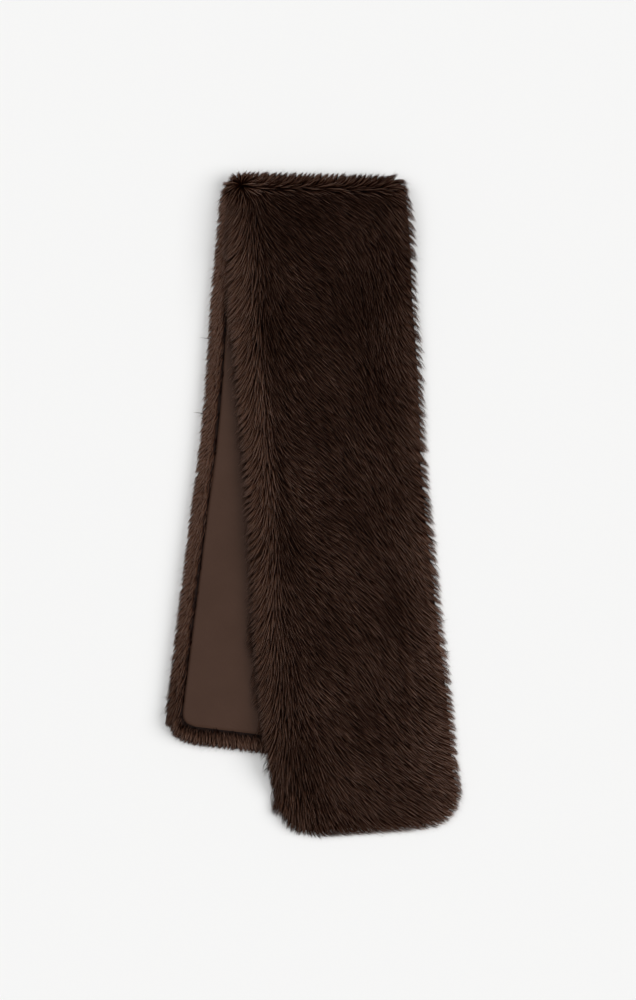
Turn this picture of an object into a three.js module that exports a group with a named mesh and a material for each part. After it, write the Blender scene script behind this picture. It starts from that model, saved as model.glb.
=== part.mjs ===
// A fur scarf with a satin lining, folded once across its length and laid flat with the fur outside.
// The back leg lies lining up on the surface. The front leg lies fur up, crosses it at a slant and
// slumps to the surface past the back leg's right side and hem. The two cut pieces, a fur panel and
// a lining panel, are each made in three stretches: front leg, fold and back leg.
//
// Millimetres. X runs across to the right, Y from the hems up to the fold, Z up from the surface.
// The origin is the middle of the whole outline, on the surface.

import * as THREE from "three";
import { mergeVertices } from "three/addons/utils/BufferGeometryUtils.js";

// The cut: both panels are this wide, and the pile of the fur reaches further on every side.
const CUT_HALF_WIDTH = 75;
const PILE_REACH = 15; // how far the pile stands out past the cut edge, and the unit of the profiles
const END_REACH = 16; // the same past the two hems, where the pile lies a little longer
const LINING_THICKNESS = 1.2;
const SEAM_GAP = 0.3; // between pieces that are sewn or lie together

// Heights of the layers.
const BACK_SEAT = 11; // where the lining of the back leg is sewn on, above its flattened pile
const FRONT_SEAT = 18.4; // the same on the front leg where it lies on the back leg
const SLUMPED_SEAT = 3; // and where it has come down to the surface
const FOLD_RADIUS = (FRONT_SEAT - BACK_SEAT) / 2; // of the sewn level round the fold
const FOLD_AXIS_HEIGHT = (FRONT_SEAT + BACK_SEAT) / 2;

// The fold: where its axis lies, and how far the fold line drops to the right.
const FOLD_Y = 311;
const FOLD_TILT = THREE.MathUtils.degToRad(1.2);
const FOLD_ACROSS = new THREE.Vector2(Math.cos(FOLD_TILT), -Math.sin(FOLD_TILT));
const FOLD_OUTWARD = new THREE.Vector2(Math.sin(FOLD_TILT), Math.cos(FOLD_TILT));
const FOLD_STEPS = 10;
const SQUARING_LENGTH = 70; // over which a leg's sections turn from the fold line to square with it

// Where the front leg slumps off the back leg, as distances outside the back leg's outline, and
// where it sags between the back leg's rims, as distances inside it. The fold holds it up at first.
const SLUMP = { start: 0, end: 45 };
const SAG = { depth: 2.6, start: 12, end: 38 };
const HELD_LENGTH = 60;

// The legs' outlines, pile included. down is the distance below the fold's axis, and left and
// right are the X of the two sides there. The corners are rounded by the radii that follow.
const FRONT_LEG = {
  rows: [
    { down: 0, left: -80.5, right: 95.5 },
    { down: 39, left: -83, right: 99 },
    { down: 109, left: -83.5, right: 101.5 },
    { down: 169, left: -79.5, right: 106.5 },
    { down: 229, left: -74.5, right: 109.5 },
    { down: 289, left: -69.5, right: 112.5 },
    { down: 369, left: -65, right: 121 },
    { down: 441, left: -61.5, right: 129 },
    { down: 501, left: -56, right: 136.5 },
    { down: 560, left: -47.5, right: 142.5 },
    { down: 601, left: -39, right: 146.6 },
    { down: 639, left: -35.5, right: 148.6 },
  ],
  length: 639,
  cornerLeft: 36,
  cornerRight: 34,
};
const BACK_LEG = {
  rows: [
    { down: 0, left: -91.5, right: 88.5 },
    { down: 41, left: -94.5, right: 86 },
    { down: 101, left: -100, right: 81 },
    { down: 161, left: -104, right: 77 },
    { down: 221, left: -108.5, right: 72.5 },
    { down: 274, left: -114.5, right: 67 },
    { down: 321, left: -121, right: 60.5 },
    { down: 391, left: -129.5, right: 52 },
    { down: 441, left: -136, right: 45.5 },
    { down: 501, left: -143.5, right: 38 },
    { down: 558, left: -150.5, right: 31 },
  ],
  length: 558,
  cornerLeft: 27,
  cornerRight: 27,
};

// The pile's profile on each stretch, outward from the sewn level. pile is its full height, side
// the height of its widest point, shoulder the width of its rounding, and rim how far it stands
// over the lining on the inner side.
const PROFILES = {
  back: { pile: 11, side: 6, shoulder: 7, rim: 4 },
  crest: { pile: 15, side: 5, shoulder: 16, rim: 0.8 },
  front: { pile: 14.5, side: 2.5, shoulder: 24, rim: 3 },
};
const RIM_RISE = 8; // width over which the rim rounds up to its crown, in from the outline
const RIM_FLAT = 11; // where the crown ends and the rim drops to the lining's seam
const RIM_FADE_LENGTH = 45; // below the fold, over which the rim grows from the crest's

// Soft waves in the top of the pile.
const WAVES = [
  { height: 0.9, x: 1 / 17, y: 1 / 41 },
  { height: 0.7, x: -1 / 37, y: 1 / 29 },
];

// The grids that the fur and the lining are built on. edge is how far inside the outline a piece
// begins, insets are its columns at each side from there, and hemRows are its last rows. Both
// grids have the same columns and rows further in, so the two pieces stay parallel.
const LINING_EDGE = PILE_REACH + SEAM_GAP;
const INNER_COLUMN = 12; // how far inside the lining's edge the last column that follows it lies
const FUR_GRID = {
  edge: 0,
  insets: [0, 1.2, 3.5, 7, 11, PILE_REACH, LINING_EDGE + INNER_COLUMN],
  hemRows: [0, 1.2, 3.5, 7, 11, PILE_REACH, 16.5, 19, 23, 28],
};
const LINING_GRID = {
  edge: LINING_EDGE,
  insets: [0, INNER_COLUMN],
  hemRows: [0, 1.5, 4, 8, 13],
};
const COLUMN_BUNCHING = 0.3; // how closely the columns run past a corner, against their insets
const MIDDLE_STEPS = 8;
const STATION_SPACING = 20;
const BODY_END = 34; // how far from the hem the evenly spaced stations end
const MERGE_DISTANCE = 0.01;

const { smoothstep, lerp, clamp } = THREE.MathUtils;

// A column of a table at a given distance down, as a smooth curve through its rows.
function column(rows, name, down) {
  const last = rows.length - 1;
  const next = rows.findIndex((row) => row.down >= down);
  const i = next < 0 ? last - 1 : Math.max(next - 1, 0);
  const at = (k) => rows[clamp(k, 0, last)];
  const slope = (k) => (at(k + 1)[name] - at(k - 1)[name]) / (at(k + 1).down - at(k - 1).down);
  const span = at(i + 1).down - at(i).down;
  const t = Math.min((down - at(i).down) / span, 1);
  const [t2, t3] = [t * t, t * t * t];
  return (
    (2 * t3 - 3 * t2 + 1) * at(i)[name] +
    (t3 - 2 * t2 + t) * span * slope(i) +
    (3 * t2 - 2 * t3) * at(i + 1)[name] +
    (t3 - t2) * span * slope(i + 1)
  );
}

const middleX = (leg, down) =>
  (column(leg.rows, "left", down) + column(leg.rows, "right", down)) / 2;

// How far a leg's middle line moves across for each millimetre down.
function slant(leg, down) {
  const reach = 5;
  const [from, to] = [Math.max(down - reach, 0), Math.min(down + reach, leg.length)];
  return (middleX(leg, to) - middleX(leg, from)) / (to - from);
}

// A leg's section at a given distance down: its middle, the direction across it, its half width
// and how far it is from the hem.
function sectionAt(leg, down) {
  const s = slant(leg, down);
  const stretch = Math.hypot(1, s);
  const across = new THREE.Vector2(1 / stretch, s / stretch);
  across.lerp(FOLD_ACROSS, 1 - smoothstep(down, 0, SQUARING_LENGTH)).normalize();
  const width = column(leg.rows, "right", down) - column(leg.rows, "left", down);
  return {
    down,
    across,
    middle: new THREE.Vector2(middleX(leg, down), FOLD_Y - down),
    half: width / 2 / stretch,
    toHem: (leg.length - down) * stretch,
  };
}

// How far in from the side a column lies that keeps a given distance from the outline, round the
// corner too. In the rows nearer the hem than that distance it runs on beside the corner.
function columnInset(border, toHem, corner) {
  const radius = Math.max(corner - border, 0);
  if (toHem < border) return border + radius + COLUMN_BUNCHING * (border - toHem);
  const rise = Math.max(radius + border - toHem, 0);
  return border + radius - Math.sqrt(radius ** 2 - rise ** 2);
}

// The distance from the outline of a point that is inset from one side and this far from the hem.
function borderDistance(inset, toHem, corner) {
  const [x, y] = [corner - inset, corner - toHem];
  return x > 0 && y > 0 ? corner - Math.hypot(x, y) : Math.min(inset, toHem);
}

// The points across one section, from left to right, as the distance across and the distance
// from the outline.
function acrossSection(leg, half, toHem, { insets, edge }) {
  const unit = (half - CUT_HALF_WIDTH) / PILE_REACH;
  const depth = (toHem * PILE_REACH) / END_REACH;
  const sides = [leg.cornerLeft, leg.cornerRight].map((corner) =>
    insets.map((inset) => {
      const fromSide = columnInset(edge + inset, depth, corner);
      return { across: half - fromSide * unit, border: borderDistance(fromSide, depth, corner) };
    }),
  );
  const left = sides[0].map((p) => ({ ...p, across: -p.across }));
  const right = sides[1].reverse();
  const [from, to] = [left.at(-1).across, right[0].across];
  const middle = [];
  for (let i = 1; i < MIDDLE_STEPS; i++) {
    const across = lerp(from, to, i / MIDDLE_STEPS);
    const inset = (half - Math.abs(across)) / unit;
    const corner = across < 0 ? leg.cornerLeft : leg.cornerRight;
    middle.push({ across, border: borderDistance(inset, depth, corner) });
  }
  return [...left, ...middle, ...right];
}

// A quarter round that rises from 0 to 1.
const rounding = (t) => Math.sqrt(1 - (1 - clamp(t, 0, 1)) ** 2);

const pileHeight = (profile, border) =>
  profile.side + (profile.pile - profile.side) * rounding(border / profile.shoulder);

// The inner side of the fur: the rim's rounding, its crown, and the drop to the lining's seam.
function innerHeight(profile, border) {
  if (border < RIM_RISE)
    return profile.side - (profile.side + profile.rim) * rounding(border / RIM_RISE);
  return -profile.rim * (1 - clamp((border - RIM_FLAT) / (PILE_REACH - RIM_FLAT), 0, 1));
}

function waves(x, y) {
  return WAVES.reduce((sum, w) => sum + w.height * Math.sin(x * w.x + y * w.y), 0);
}

// How far a point lies outside the back leg's sides and hem. It is negative inside them.
const backEnd = sectionAt(BACK_LEG, BACK_LEG.length);
function outsideBackLeg(x, y) {
  const down = clamp(FOLD_Y - y, 0, BACK_LEG.length);
  const section = sectionAt(BACK_LEG, down);
  const square = Math.cos(Math.atan(slant(BACK_LEG, down)));
  const sideways = Math.abs(x - section.middle.x) * square - section.half;
  const endward = new THREE.Vector2(backEnd.across.y, -backEnd.across.x);
  const along = new THREE.Vector2(x, y).sub(backEnd.middle).dot(endward);
  const corner = BACK_LEG.cornerRight;
  const [dx, dy] = [sideways + corner, along + corner];
  return Math.hypot(Math.max(dx, 0), Math.max(dy, 0)) + Math.min(Math.max(dx, dy), 0) - corner;
}

// The height at which the front leg's lining is sewn on, over any point.
function frontSeat(x, y) {
  const outside = outsideBackLeg(x, y);
  const free = smoothstep(FOLD_Y - y, 0, HELD_LENGTH);
  const slump = free * smoothstep(outside, SLUMP.start, SLUMP.end);
  const sag = free * smoothstep(-outside, SAG.start, SAG.end);
  return lerp(FRONT_SEAT, SLUMPED_SEAT, slump) - SAG.depth * sag;
}

const withRim = (profile, down) => ({
  ...profile,
  rim: lerp(PROFILES.crest.rim, profile.rim, smoothstep(down, 0, RIM_FADE_LENGTH)),
});

// Places a point of the front leg, given across its section and outward from the sewn level.
function placeFront(section, p, outward) {
  const at = section.middle.clone().addScaledVector(section.across, p.across);
  const z = Math.max(frontSeat(at.x, at.y) + outward, 0);
  return new THREE.Vector3(at.x, at.y, z);
}

function placeBack(section, p, outward) {
  const at = section.middle.clone().addScaledVector(section.across, p.across);
  return new THREE.Vector3(at.x, at.y, Math.max(BACK_SEAT - outward, 0));
}

// The front leg's pile is wavy on top.
function frontOuter(section, p) {
  const at = section.middle.clone().addScaledVector(section.across, p.across);
  const held = smoothstep(section.down, 0, SQUARING_LENGTH);
  const wave = held * rounding(p.border / PROFILES.front.shoulder) * waves(at.x, at.y);
  return placeFront(section, p, pileHeight(PROFILES.front, p.border) + wave);
}

function frontInner(section, p) {
  return placeFront(section, p, innerHeight(withRim(PROFILES.front, section.down), p.border));
}

function backOuter(section, p) {
  return placeBack(section, p, pileHeight(PROFILES.back, p.border));
}

function backInner(section, p) {
  return placeBack(section, p, innerHeight(withRim(PROFILES.back, section.down), p.border));
}

// The lining's two faces, off the sewn level.
const LINING_FACES = { sewn: -SEAM_GAP, free: -SEAM_GAP - LINING_THICKNESS };

// A closed solid between two grids of points that face each other. Rows that meet are merged.
function solidBetween(outer, inner) {
  const triangles = [];
  const quad = (a, b, c, d) => triangles.push(a, c, b, a, d, c);
  const [rows, columns] = [outer.length - 1, outer[0].length - 1];
  for (let i = 0; i < rows; i++) {
    for (let j = 0; j < columns; j++) {
      quad(outer[i][j], outer[i][j + 1], outer[i + 1][j + 1], outer[i + 1][j]);
      quad(inner[i][j], inner[i + 1][j], inner[i + 1][j + 1], inner[i][j + 1]);
    }
    quad(outer[i][0], outer[i + 1][0], inner[i + 1][0], inner[i][0]);
    quad(outer[i + 1][columns], outer[i][columns], inner[i][columns], inner[i + 1][columns]);
  }
  for (let j = 0; j < columns; j++) {
    quad(outer[0][j + 1], outer[0][j], inner[0][j], inner[0][j + 1]);
    quad(outer[rows][j], outer[rows][j + 1], inner[rows][j + 1], inner[rows][j]);
  }
  const all = new THREE.BufferGeometry().setFromPoints(triangles);
  const geometry = mergeVertices(all, MERGE_DISTANCE);
  const index = [...geometry.index.array];
  const kept = [];
  for (let i = 0; i < index.length; i += 3) {
    const [a, b, c] = index.slice(i, i + 3);
    if (a !== b && b !== c && c !== a) kept.push(a, b, c);
  }
  return geometry.setIndex(kept);
}

// A leg's sections from the fold to the hem.
function legSections(leg, { edge, hemRows }) {
  const [first, last] = [SEAM_GAP / 2, leg.length - BODY_END];
  const steps = Math.round((last - first) / STATION_SPACING);
  const body = Array.from({ length: steps + 1 }, (_, i) => lerp(first, last, i / steps));
  const unit = END_REACH / PILE_REACH / Math.hypot(1, slant(leg, leg.length));
  const hem = hemRows.map((row) => leg.length - (row + edge) * unit).reverse();
  return [...body, ...hem].map((down) => sectionAt(leg, down));
}

// A leg's face, as a grid of points, from a function that places a point on it.
const legFace = (leg, grid, place) =>
  legSections(leg, grid).map((section) =>
    acrossSection(leg, section.half, section.toHem, grid).map((p) => place(section, p)),
  );

const placedAt = (place, outward) => (section, p) => place(section, p, outward);

// The fold's sections from the back leg round to the front leg: turn goes from 0 to 1.
function foldSection(turn) {
  const ends = [sectionAt(BACK_LEG, 0), sectionAt(FRONT_LEG, 0)];
  const { back, crest, front } = PROFILES;
  const [from, to, share] = turn < 0.5 ? [back, crest, turn * 2] : [crest, front, turn * 2 - 1];
  const mixed = (name) => lerp(from[name], to[name], smoothstep(share, 0, 1));
  const late = smoothstep(turn, 0, 1);
  return {
    angle: Math.PI * turn,
    middle: ends[0].middle.clone().lerp(ends[1].middle, late),
    half: lerp(ends[0].half, ends[1].half, late),
    profile: {
      pile: mixed("pile"),
      side: mixed("side"),
      shoulder: mixed("shoulder"),
      rim: crest.rim,
    },
  };
}

function placeFold(section, p, outward) {
  const radius = FOLD_RADIUS + outward;
  const at = section.middle.clone().addScaledVector(FOLD_ACROSS, p.across);
  at.addScaledVector(FOLD_OUTWARD, SEAM_GAP / 2 + radius * Math.sin(section.angle));
  const z = FOLD_AXIS_HEIGHT - radius * Math.cos(section.angle);
  return new THREE.Vector3(at.x, at.y, Math.max(z, 0));
}

// A face of the fold, as a grid of points, from its outward height at each point.
function foldFace(grid, outwardAt) {
  const noHem = 1e4;
  return Array.from({ length: FOLD_STEPS + 1 }, (_, i) => {
    const section = foldSection(i / FOLD_STEPS);
    return acrossSection(BACK_LEG, section.half, noHem, grid).map((p) =>
      placeFold(section, p, outwardAt(section.profile, p.border)),
    );
  });
}

const fabric = (color, roughness) =>
  new THREE.MeshStandardMaterial({ color, roughness, metalness: 0 });
const furMaterial = fabric(0x2c1c15, 0.85);
const liningMaterial = fabric(0x48372f, 0.55);

function piece(name, material, outer, inner) {
  const geometry = solidBetween(outer, inner);
  geometry.computeVertexNormals();
  const mesh = new THREE.Mesh(geometry, material);
  mesh.name = name;
  return mesh;
}

function furFront() {
  const outer = legFace(FRONT_LEG, FUR_GRID, frontOuter);
  const inner = legFace(FRONT_LEG, FUR_GRID, frontInner);
  return piece("fur_front", furMaterial, outer, inner);
}

function furFold() {
  const outer = foldFace(FUR_GRID, pileHeight);
  const inner = foldFace(FUR_GRID, innerHeight);
  return piece("fur_fold", furMaterial, outer, inner);
}

// The back leg is upside down, so its inner side is the upper one.
function furBack() {
  const inner = legFace(BACK_LEG, FUR_GRID, backInner);
  const outer = legFace(BACK_LEG, FUR_GRID, backOuter);
  return piece("fur_back", furMaterial, inner, outer);
}

function liningFront() {
  const sewn = legFace(FRONT_LEG, LINING_GRID, placedAt(placeFront, LINING_FACES.sewn));
  const free = legFace(FRONT_LEG, LINING_GRID, placedAt(placeFront, LINING_FACES.free));
  return piece("lining_front", liningMaterial, sewn, free);
}

function liningFold() {
  const sewn = foldFace(LINING_GRID, () => LINING_FACES.sewn);
  const free = foldFace(LINING_GRID, () => LINING_FACES.free);
  return piece("lining_fold", liningMaterial, sewn, free);
}

function liningBack() {
  const sewn = legFace(BACK_LEG, LINING_GRID, placedAt(placeBack, LINING_FACES.sewn));
  const free = legFace(BACK_LEG, LINING_GRID, placedAt(placeBack, LINING_FACES.free));
  return piece("lining_back", liningMaterial, free, sewn);
}

const scarf = new THREE.Group();
scarf.add(furFront(), furFold(), furBack(), liningFront(), liningFold(), liningBack());

export default scarf;
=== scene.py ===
# A fur collar wrap of dark brown faux fur with a satin lining, folded once and laid flat. The hair is
# made strand by strand: locks are scattered over the imported solids and combed along the pile's flow, so
# that their tips reach the solids' surface from a dark panel below, dark partly as painted shade, and are
# gathered into tufts near the outline. Guard hair, made lighter as painted highlights, under hair, a
# fringe and stray wisps grow between them.
# Metres throughout, in the frame of the imported model: X to the right, Y up to the fold, Z up.

import bpy
import numpy as np
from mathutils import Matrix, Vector
from mathutils.bvhtree import BVHTree


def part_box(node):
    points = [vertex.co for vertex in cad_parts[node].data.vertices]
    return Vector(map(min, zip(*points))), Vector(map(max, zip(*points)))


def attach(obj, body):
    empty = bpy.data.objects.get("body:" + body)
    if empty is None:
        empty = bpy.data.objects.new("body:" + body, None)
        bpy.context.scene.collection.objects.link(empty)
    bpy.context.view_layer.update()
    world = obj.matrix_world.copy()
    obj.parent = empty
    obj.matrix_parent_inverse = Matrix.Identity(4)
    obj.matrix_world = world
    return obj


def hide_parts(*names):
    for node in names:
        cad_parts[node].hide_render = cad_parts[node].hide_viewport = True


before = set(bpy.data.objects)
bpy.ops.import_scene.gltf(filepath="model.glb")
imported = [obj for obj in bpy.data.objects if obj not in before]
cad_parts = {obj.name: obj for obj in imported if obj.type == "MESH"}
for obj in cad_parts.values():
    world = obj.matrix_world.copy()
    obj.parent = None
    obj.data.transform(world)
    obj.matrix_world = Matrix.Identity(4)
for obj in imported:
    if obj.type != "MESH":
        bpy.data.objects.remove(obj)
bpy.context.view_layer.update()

MM = 0.001
UP = np.array([0.0, 0.0, 1.0])
SEED = 1637

# The photograph: which pixel shows the frame's origin, and its middle.
ORIGIN_PIXEL = (312.5, 503.8)
MIDDLE_PIXEL = (318.0, 500.0)
PICTURE_HEIGHT_PIXELS = 1000
METRES_PER_PIXEL = 1 * MM
CAMERA_HEIGHT = 3.0
CAMERA_FOCUS_HEIGHT = 20 * MM
SENSOR_MM = 36.0

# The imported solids.
FUR_NODES = ("fur_back", "fur_fold", "fur_front")
LINING_NODES = ("lining_back", "lining_fold", "lining_front")
BACK, FOLD, FRONT = range(3)  # the order of the lists below that give a value for each stretch
SEAM_REACH = 0.35 * MM  # points this near the next stretch lie on the seam to it
SEWN_REACH = 0.6 * MM  # points this near the lining are sewn under it
SAME_POINT = 0.01 * MM  # points of a solid in one cell of this size are one
END_INSET = 0.02 * MM  # from a solid's ends, before its outline is read
RAY_START = 1.0  # above or below the floor, clear of all solids
FOLD_TILT = np.radians(1.2)  # how far the fold line drops to the right
SEAM_DROP = 4 * MM  # and with it the seams beside the fold

# The fur panel, as depths below the surface of the solids, and what lies pressed on the floor.
PANEL_DEPTH = [2.4 * MM, 5.5 * MM, 6.0 * MM]
PRESSED_DEPTH = 0.4 * MM
PRESSED_FACING = (0.35, 0.85)  # how far its surface faces down where pressing starts and is full
ROOT_DEPTH = 0.6 * MM  # of a root inside the panel
FLOOR_CLEARANCE = 0.15 * MM
CLOTH_CLEARANCE = 0.4 * MM
LEDGE = 6 * MM  # from the lining's edge, over which the rim's panel sinks to its depth

# The whorl at the top left, from which the pile runs off to all sides.
WHORL_PIXEL = (240, 184)
WHORL_REACH = (6.6 * MM, 22 * MM)  # from its middle, where it starts and ends to fade


# Reading the solids

def read(items, name, width, kind=float):
    values = np.empty(len(items) * width, kind)
    items.foreach_get(name, values)
    return values.reshape(-1, width)


def solid(node):
    """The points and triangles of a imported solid, each corner's point once."""
    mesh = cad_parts[node].data
    mesh.calc_loop_triangles()
    points = read(mesh.vertices, "co", 3)
    triangles = read(mesh.loop_triangles, "vertices", 3, np.int32)
    places = np.round(points / SAME_POINT).astype(np.int64)
    _, first, index = np.unique(places, axis=0, return_index=True, return_inverse=True)
    return points[first], index.reshape(-1)[triangles]


def tree_of(*solids):
    points, triangles, start = [], [], 0
    for some, faces in solids:
        points += some.tolist()
        triangles += (faces + start).tolist()
        start += len(some)
    return BVHTree.FromPolygons(points, triangles)


def distance_to(tree, points, reach):
    """Each point's distance to a surface, or infinity where that is past reach."""
    hits = (tree.find_nearest(p, reach) for p in points.tolist())
    return np.array([np.inf if hit[3] is None else hit[3] for hit in hits])


def normals_of(points, triangles):
    a, b, c = (points[triangles[:, k]] for k in range(3))
    face = np.cross(b - a, c - a)
    total = np.zeros_like(points)
    for k in range(3):
        np.add.at(total, triangles[:, k], face)
    return unit(total)


def unit(vectors):
    return vectors / np.maximum(np.linalg.norm(vectors, axis=-1, keepdims=True), 1e-12)


def smooth(values, low, high):
    """From 0 at low to 1 at high, without a kink."""
    t = np.clip((values - low) / (high - low), 0, 1)
    return t * t * (3 - 2 * t)


def waves(x, y, parts):
    """A sum of plane waves: each has a size, radians for a millimetre of x and of y, and a phase."""
    x, y = x / MM, y / MM
    return sum(size * np.sin(x * in_x + y * in_y + phase) for size, in_x, in_y, phase in parts)


class Outline:
    """How far a solid reaches to both sides, across one axis, at places along the other.

    At the solid's low and high end, the part that's left out takes the reach of the place beside it.
    """

    def __init__(self, points, triangles, along, left_out=(0, 0), step=3 * MM):
        across = 1 - along
        edges = np.concatenate([triangles[:, [0, 1]], triangles[:, [1, 2]], triangles[:, [2, 0]]])
        a, b = points[edges[:, 0]], points[edges[:, 1]]
        low = points[:, along].min() + left_out[0] + END_INSET
        high = points[:, along].max() - left_out[1] - END_INSET
        self.at = np.linspace(low, high, int((high - low) / step))
        self.lows, self.highs = [], []
        for place in self.at:
            crosses = (a[:, along] - place) * (b[:, along] - place) < 0
            p, q = a[crosses], b[crosses]
            share = (place - p[:, along]) / (q[:, along] - p[:, along])
            side = p[:, across] + share * (q[:, across] - p[:, across])
            self.lows.append(side.min())
            self.highs.append(side.max())

    def low(self, places):
        return np.interp(places, self.at, self.lows)

    def high(self, places):
        return np.interp(places, self.at, self.highs)


solids = {node: solid(node) for node in FUR_NODES + LINING_NODES}
trees = {node: tree_of(solids[node]) for node in solids}
lining_tree = tree_of(*(solids[node] for node in LINING_NODES))
slanted_ends = {node: (0, SEAM_DROP) for node in FUR_NODES} | {"fur_fold": (SEAM_DROP, SEAM_DROP)}
sides = {node: Outline(*solids[node], 1, slanted_ends.get(node, (0, 0))) for node in solids}
ends = {node: Outline(*solids[node], along=0) for node in solids}


# The surface of the whole fur panel

def on_seam(node, others):
    points, _ = solids[node]
    return np.min([distance_to(trees[other], points, SEAM_REACH) for other in others], axis=0) < np.inf


def welded(points, triangles, seam):
    """Joins the pairs of points that face each other across the seams."""
    index = np.flatnonzero(seam)
    gaps = np.linalg.norm(points[index, None] - points[None, index], axis=2)
    np.fill_diagonal(gaps, np.inf)
    partner = index[gaps.argmin(axis=1)]
    target = np.arange(len(points))
    target[index] = np.minimum(index, partner)
    triangles = target[triangles]
    whole = (triangles != np.roll(triangles, 1, axis=1)).all(axis=1)
    return triangles, whole


def fur_surface():
    """The three stretches of fur as one closed surface, and the stretch of each triangle."""
    points, triangles, stretch, seam, start = [], [], [], [], 0
    neighbours = [["fur_fold"], ["fur_back", "fur_front"], ["fur_fold"]]
    for number, node in enumerate(FUR_NODES):
        some, faces = solids[node]
        joined = on_seam(node, neighbours[number])
        open_faces = faces[~joined[faces].all(axis=1)]
        points.append(some)
        seam.append(joined)
        triangles.append(open_faces + start)
        stretch.append(np.full(len(open_faces), number))
        start += len(some)
    points, triangles = np.concatenate(points), np.concatenate(triangles)
    triangles, whole = welded(points, triangles, np.concatenate(seam))
    stretch = np.concatenate(stretch)[whole]
    used, index = np.unique(triangles[whole], return_inverse=True)
    return points[used], index.reshape(-1, 3), stretch


def divided(points, triangles, stretch):
    """Each triangle cut into four at the middles of its sides."""
    sides_of = np.concatenate([triangles[:, [0, 1]], triangles[:, [1, 2]], triangles[:, [2, 0]]])
    edges, index = np.unique(np.sort(sides_of, axis=1), axis=0, return_inverse=True)
    middle = index.reshape(3, -1) + len(points)
    a, b, c = triangles.T
    ab, bc, ca = middle
    corners = [(a, ab, ca), (ab, b, bc), (ca, bc, c), (ab, bc, ca)]
    new = np.concatenate([np.stack(corner, axis=1) for corner in corners])
    return np.concatenate([points, points[edges].mean(axis=1)]), new, np.tile(stretch, 4)


def panel_depth(points, normals, stretch):
    """How far the fur panel lies below the surface of the solids."""
    exposed = np.take(PANEL_DEPTH, stretch)
    pressed = smooth(-normals[:, 2], *PRESSED_FACING)
    from_lining = distance_to(lining_tree, points, LEDGE)
    sunk = np.where(stretch == BACK, smooth(from_lining, SEWN_REACH, LEDGE), from_lining > SEWN_REACH)
    return sunk * (exposed + pressed * (PRESSED_DEPTH - exposed))


# The flow of the pile

def from_pixel(x, y):
    return np.array([x - ORIGIN_PIXEL[0], ORIGIN_PIXEL[1] - y]) * METRES_PER_PIXEL


def plan_direction(degrees):
    """A direction seen from above, from straight down the picture and turned to its right."""
    angle = np.radians(degrees)
    return np.stack([np.sin(angle), -np.cos(angle), np.zeros_like(angle)], axis=-1)


# The front leg in rows, by the distance below the fold's edge, and in columns, by the distance from
# the leg's left side, for a leg 182 mm wide.
FRONT_COLUMNS = [0, 12, 24, 36, 55, 80, 110, 140, 160, 182]
FRONT_WIDTH = 182
FLOW_ROWS = {  # where the pile points, in degrees
    40: [-50, -30, 0, 38, 54, 58, 54, 44, 32, 46],
    75: [-55, -36, -8, 20, 40, 50, 40, 26, 16, 58],
    125: [-58, -40, -10, 16, 36, 45, 32, 10, 22, 60],
    245: [-60, -42, -5, 28, 48, 50, 36, 27, 36, 58],
    385: [-60, -42, -5, 28, 48, 52, 42, 34, 40, 58],
    505: [-58, -30, 0, 14, 38, 50, 40, 38, 48, 62],
    585: [-46, -14, 5, 17, 34, 42, 50, 58, 62, 70],
    655: [-32, -2, 11, 22, 34, 42, 50, 56, 60, 70],
}
# The light bands along the front leg's left and right sides are partly painted sheen, and the darker pile
# right at its left side is painted shade where the front leg meets the rim.
SHADE_COLUMNS_AT = [0, 6, 13, 22, 35, 90, 140, 165, 182]
SHADE_ROWS = {  # how light the pile is, from 0 to 1, with painted light in it
    25: [0.5, 0.52, 0.36, 0.22, 0.18, 0.18, 0.2, 0.31, 0.44],
    45: [0.5, 0.8, 0.64, 0.36, 0.2, 0.19, 0.21, 0.32, 0.44],
    75: [0.6, 1.0, 1.0, 0.64, 0.23, 0.2, 0.21, 0.3, 0.46],
    275: [0.65, 1.0, 1.0, 0.82, 0.33, 0.26, 0.29, 0.44, 0.58],
    505: [0.5, 0.8, 0.74, 0.48, 0.34, 0.32, 0.36, 0.5, 0.66],
    645: [0.34, 0.44, 0.45, 0.4, 0.37, 0.37, 0.42, 0.5, 0.6],
}
FRONT_TOP = {"column": [0, 18, 40, 150, 182], "degrees": [-60, 0, 62, 58, 54]}  # where it meets the fold
TURN_LENGTH = 12 * MM  # below the fold, over which it turns from there
SWIRLS = [(4, 1 / 19, 1 / 31, 1.3), (3, -1 / 11, 1 / 23, 4.1)]  # waves, in degrees
SIDE_DROOP = 0.35  # how much the pile hangs where it grows sideways
TURNED_UNDER = -0.2  # how far the surface faces up, below which neither droop nor whorl reaches


def swirl(points):
    return waves(points[:, 0], points[:, 1], SWIRLS)


def over_front(points, rows, columns):
    """Values from a table over the front leg, even between its rows and columns."""
    outline = sides["fur_front"]
    left, right = outline.low(points[:, 1]), outline.high(points[:, 1])
    across = (points[:, 0] - left) / (right - left) * FRONT_WIDTH
    below = (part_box("fur_fold")[1].y - points[:, 1]) / MM
    values = [np.interp(across, columns, row) for row in rows.values()]
    places = list(rows)
    result = values[0]
    for near, far, value in zip(places, places[1:], values[1:]):
        share = np.clip((below - near) / (far - near), 0, 1)
        result = result + (value - result) * share
    return result


def front_flow(points):
    degrees = over_front(points, FLOW_ROWS, FRONT_COLUMNS) + swirl(points)
    below = sides["fur_front"].at[-1] - points[:, 1]
    top_share = 1 - smooth(below, 0, TURN_LENGTH)
    at_top = over_front(points, {0: FRONT_TOP["degrees"]}, FRONT_TOP["column"])
    return plan_direction(degrees + (at_top - degrees) * top_share)


def whorled(flows, points):
    """Near the whorl the pile runs away from its middle instead."""
    away = np.zeros_like(points)
    away[:, :2] = points[:, :2] - from_pixel(*WHORL_PIXEL)
    share = 1 - smooth(np.linalg.norm(away, axis=1), *WHORL_REACH)
    return unit(flows * (1 - share)[:, None] + unit(away) * share[:, None])


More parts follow.
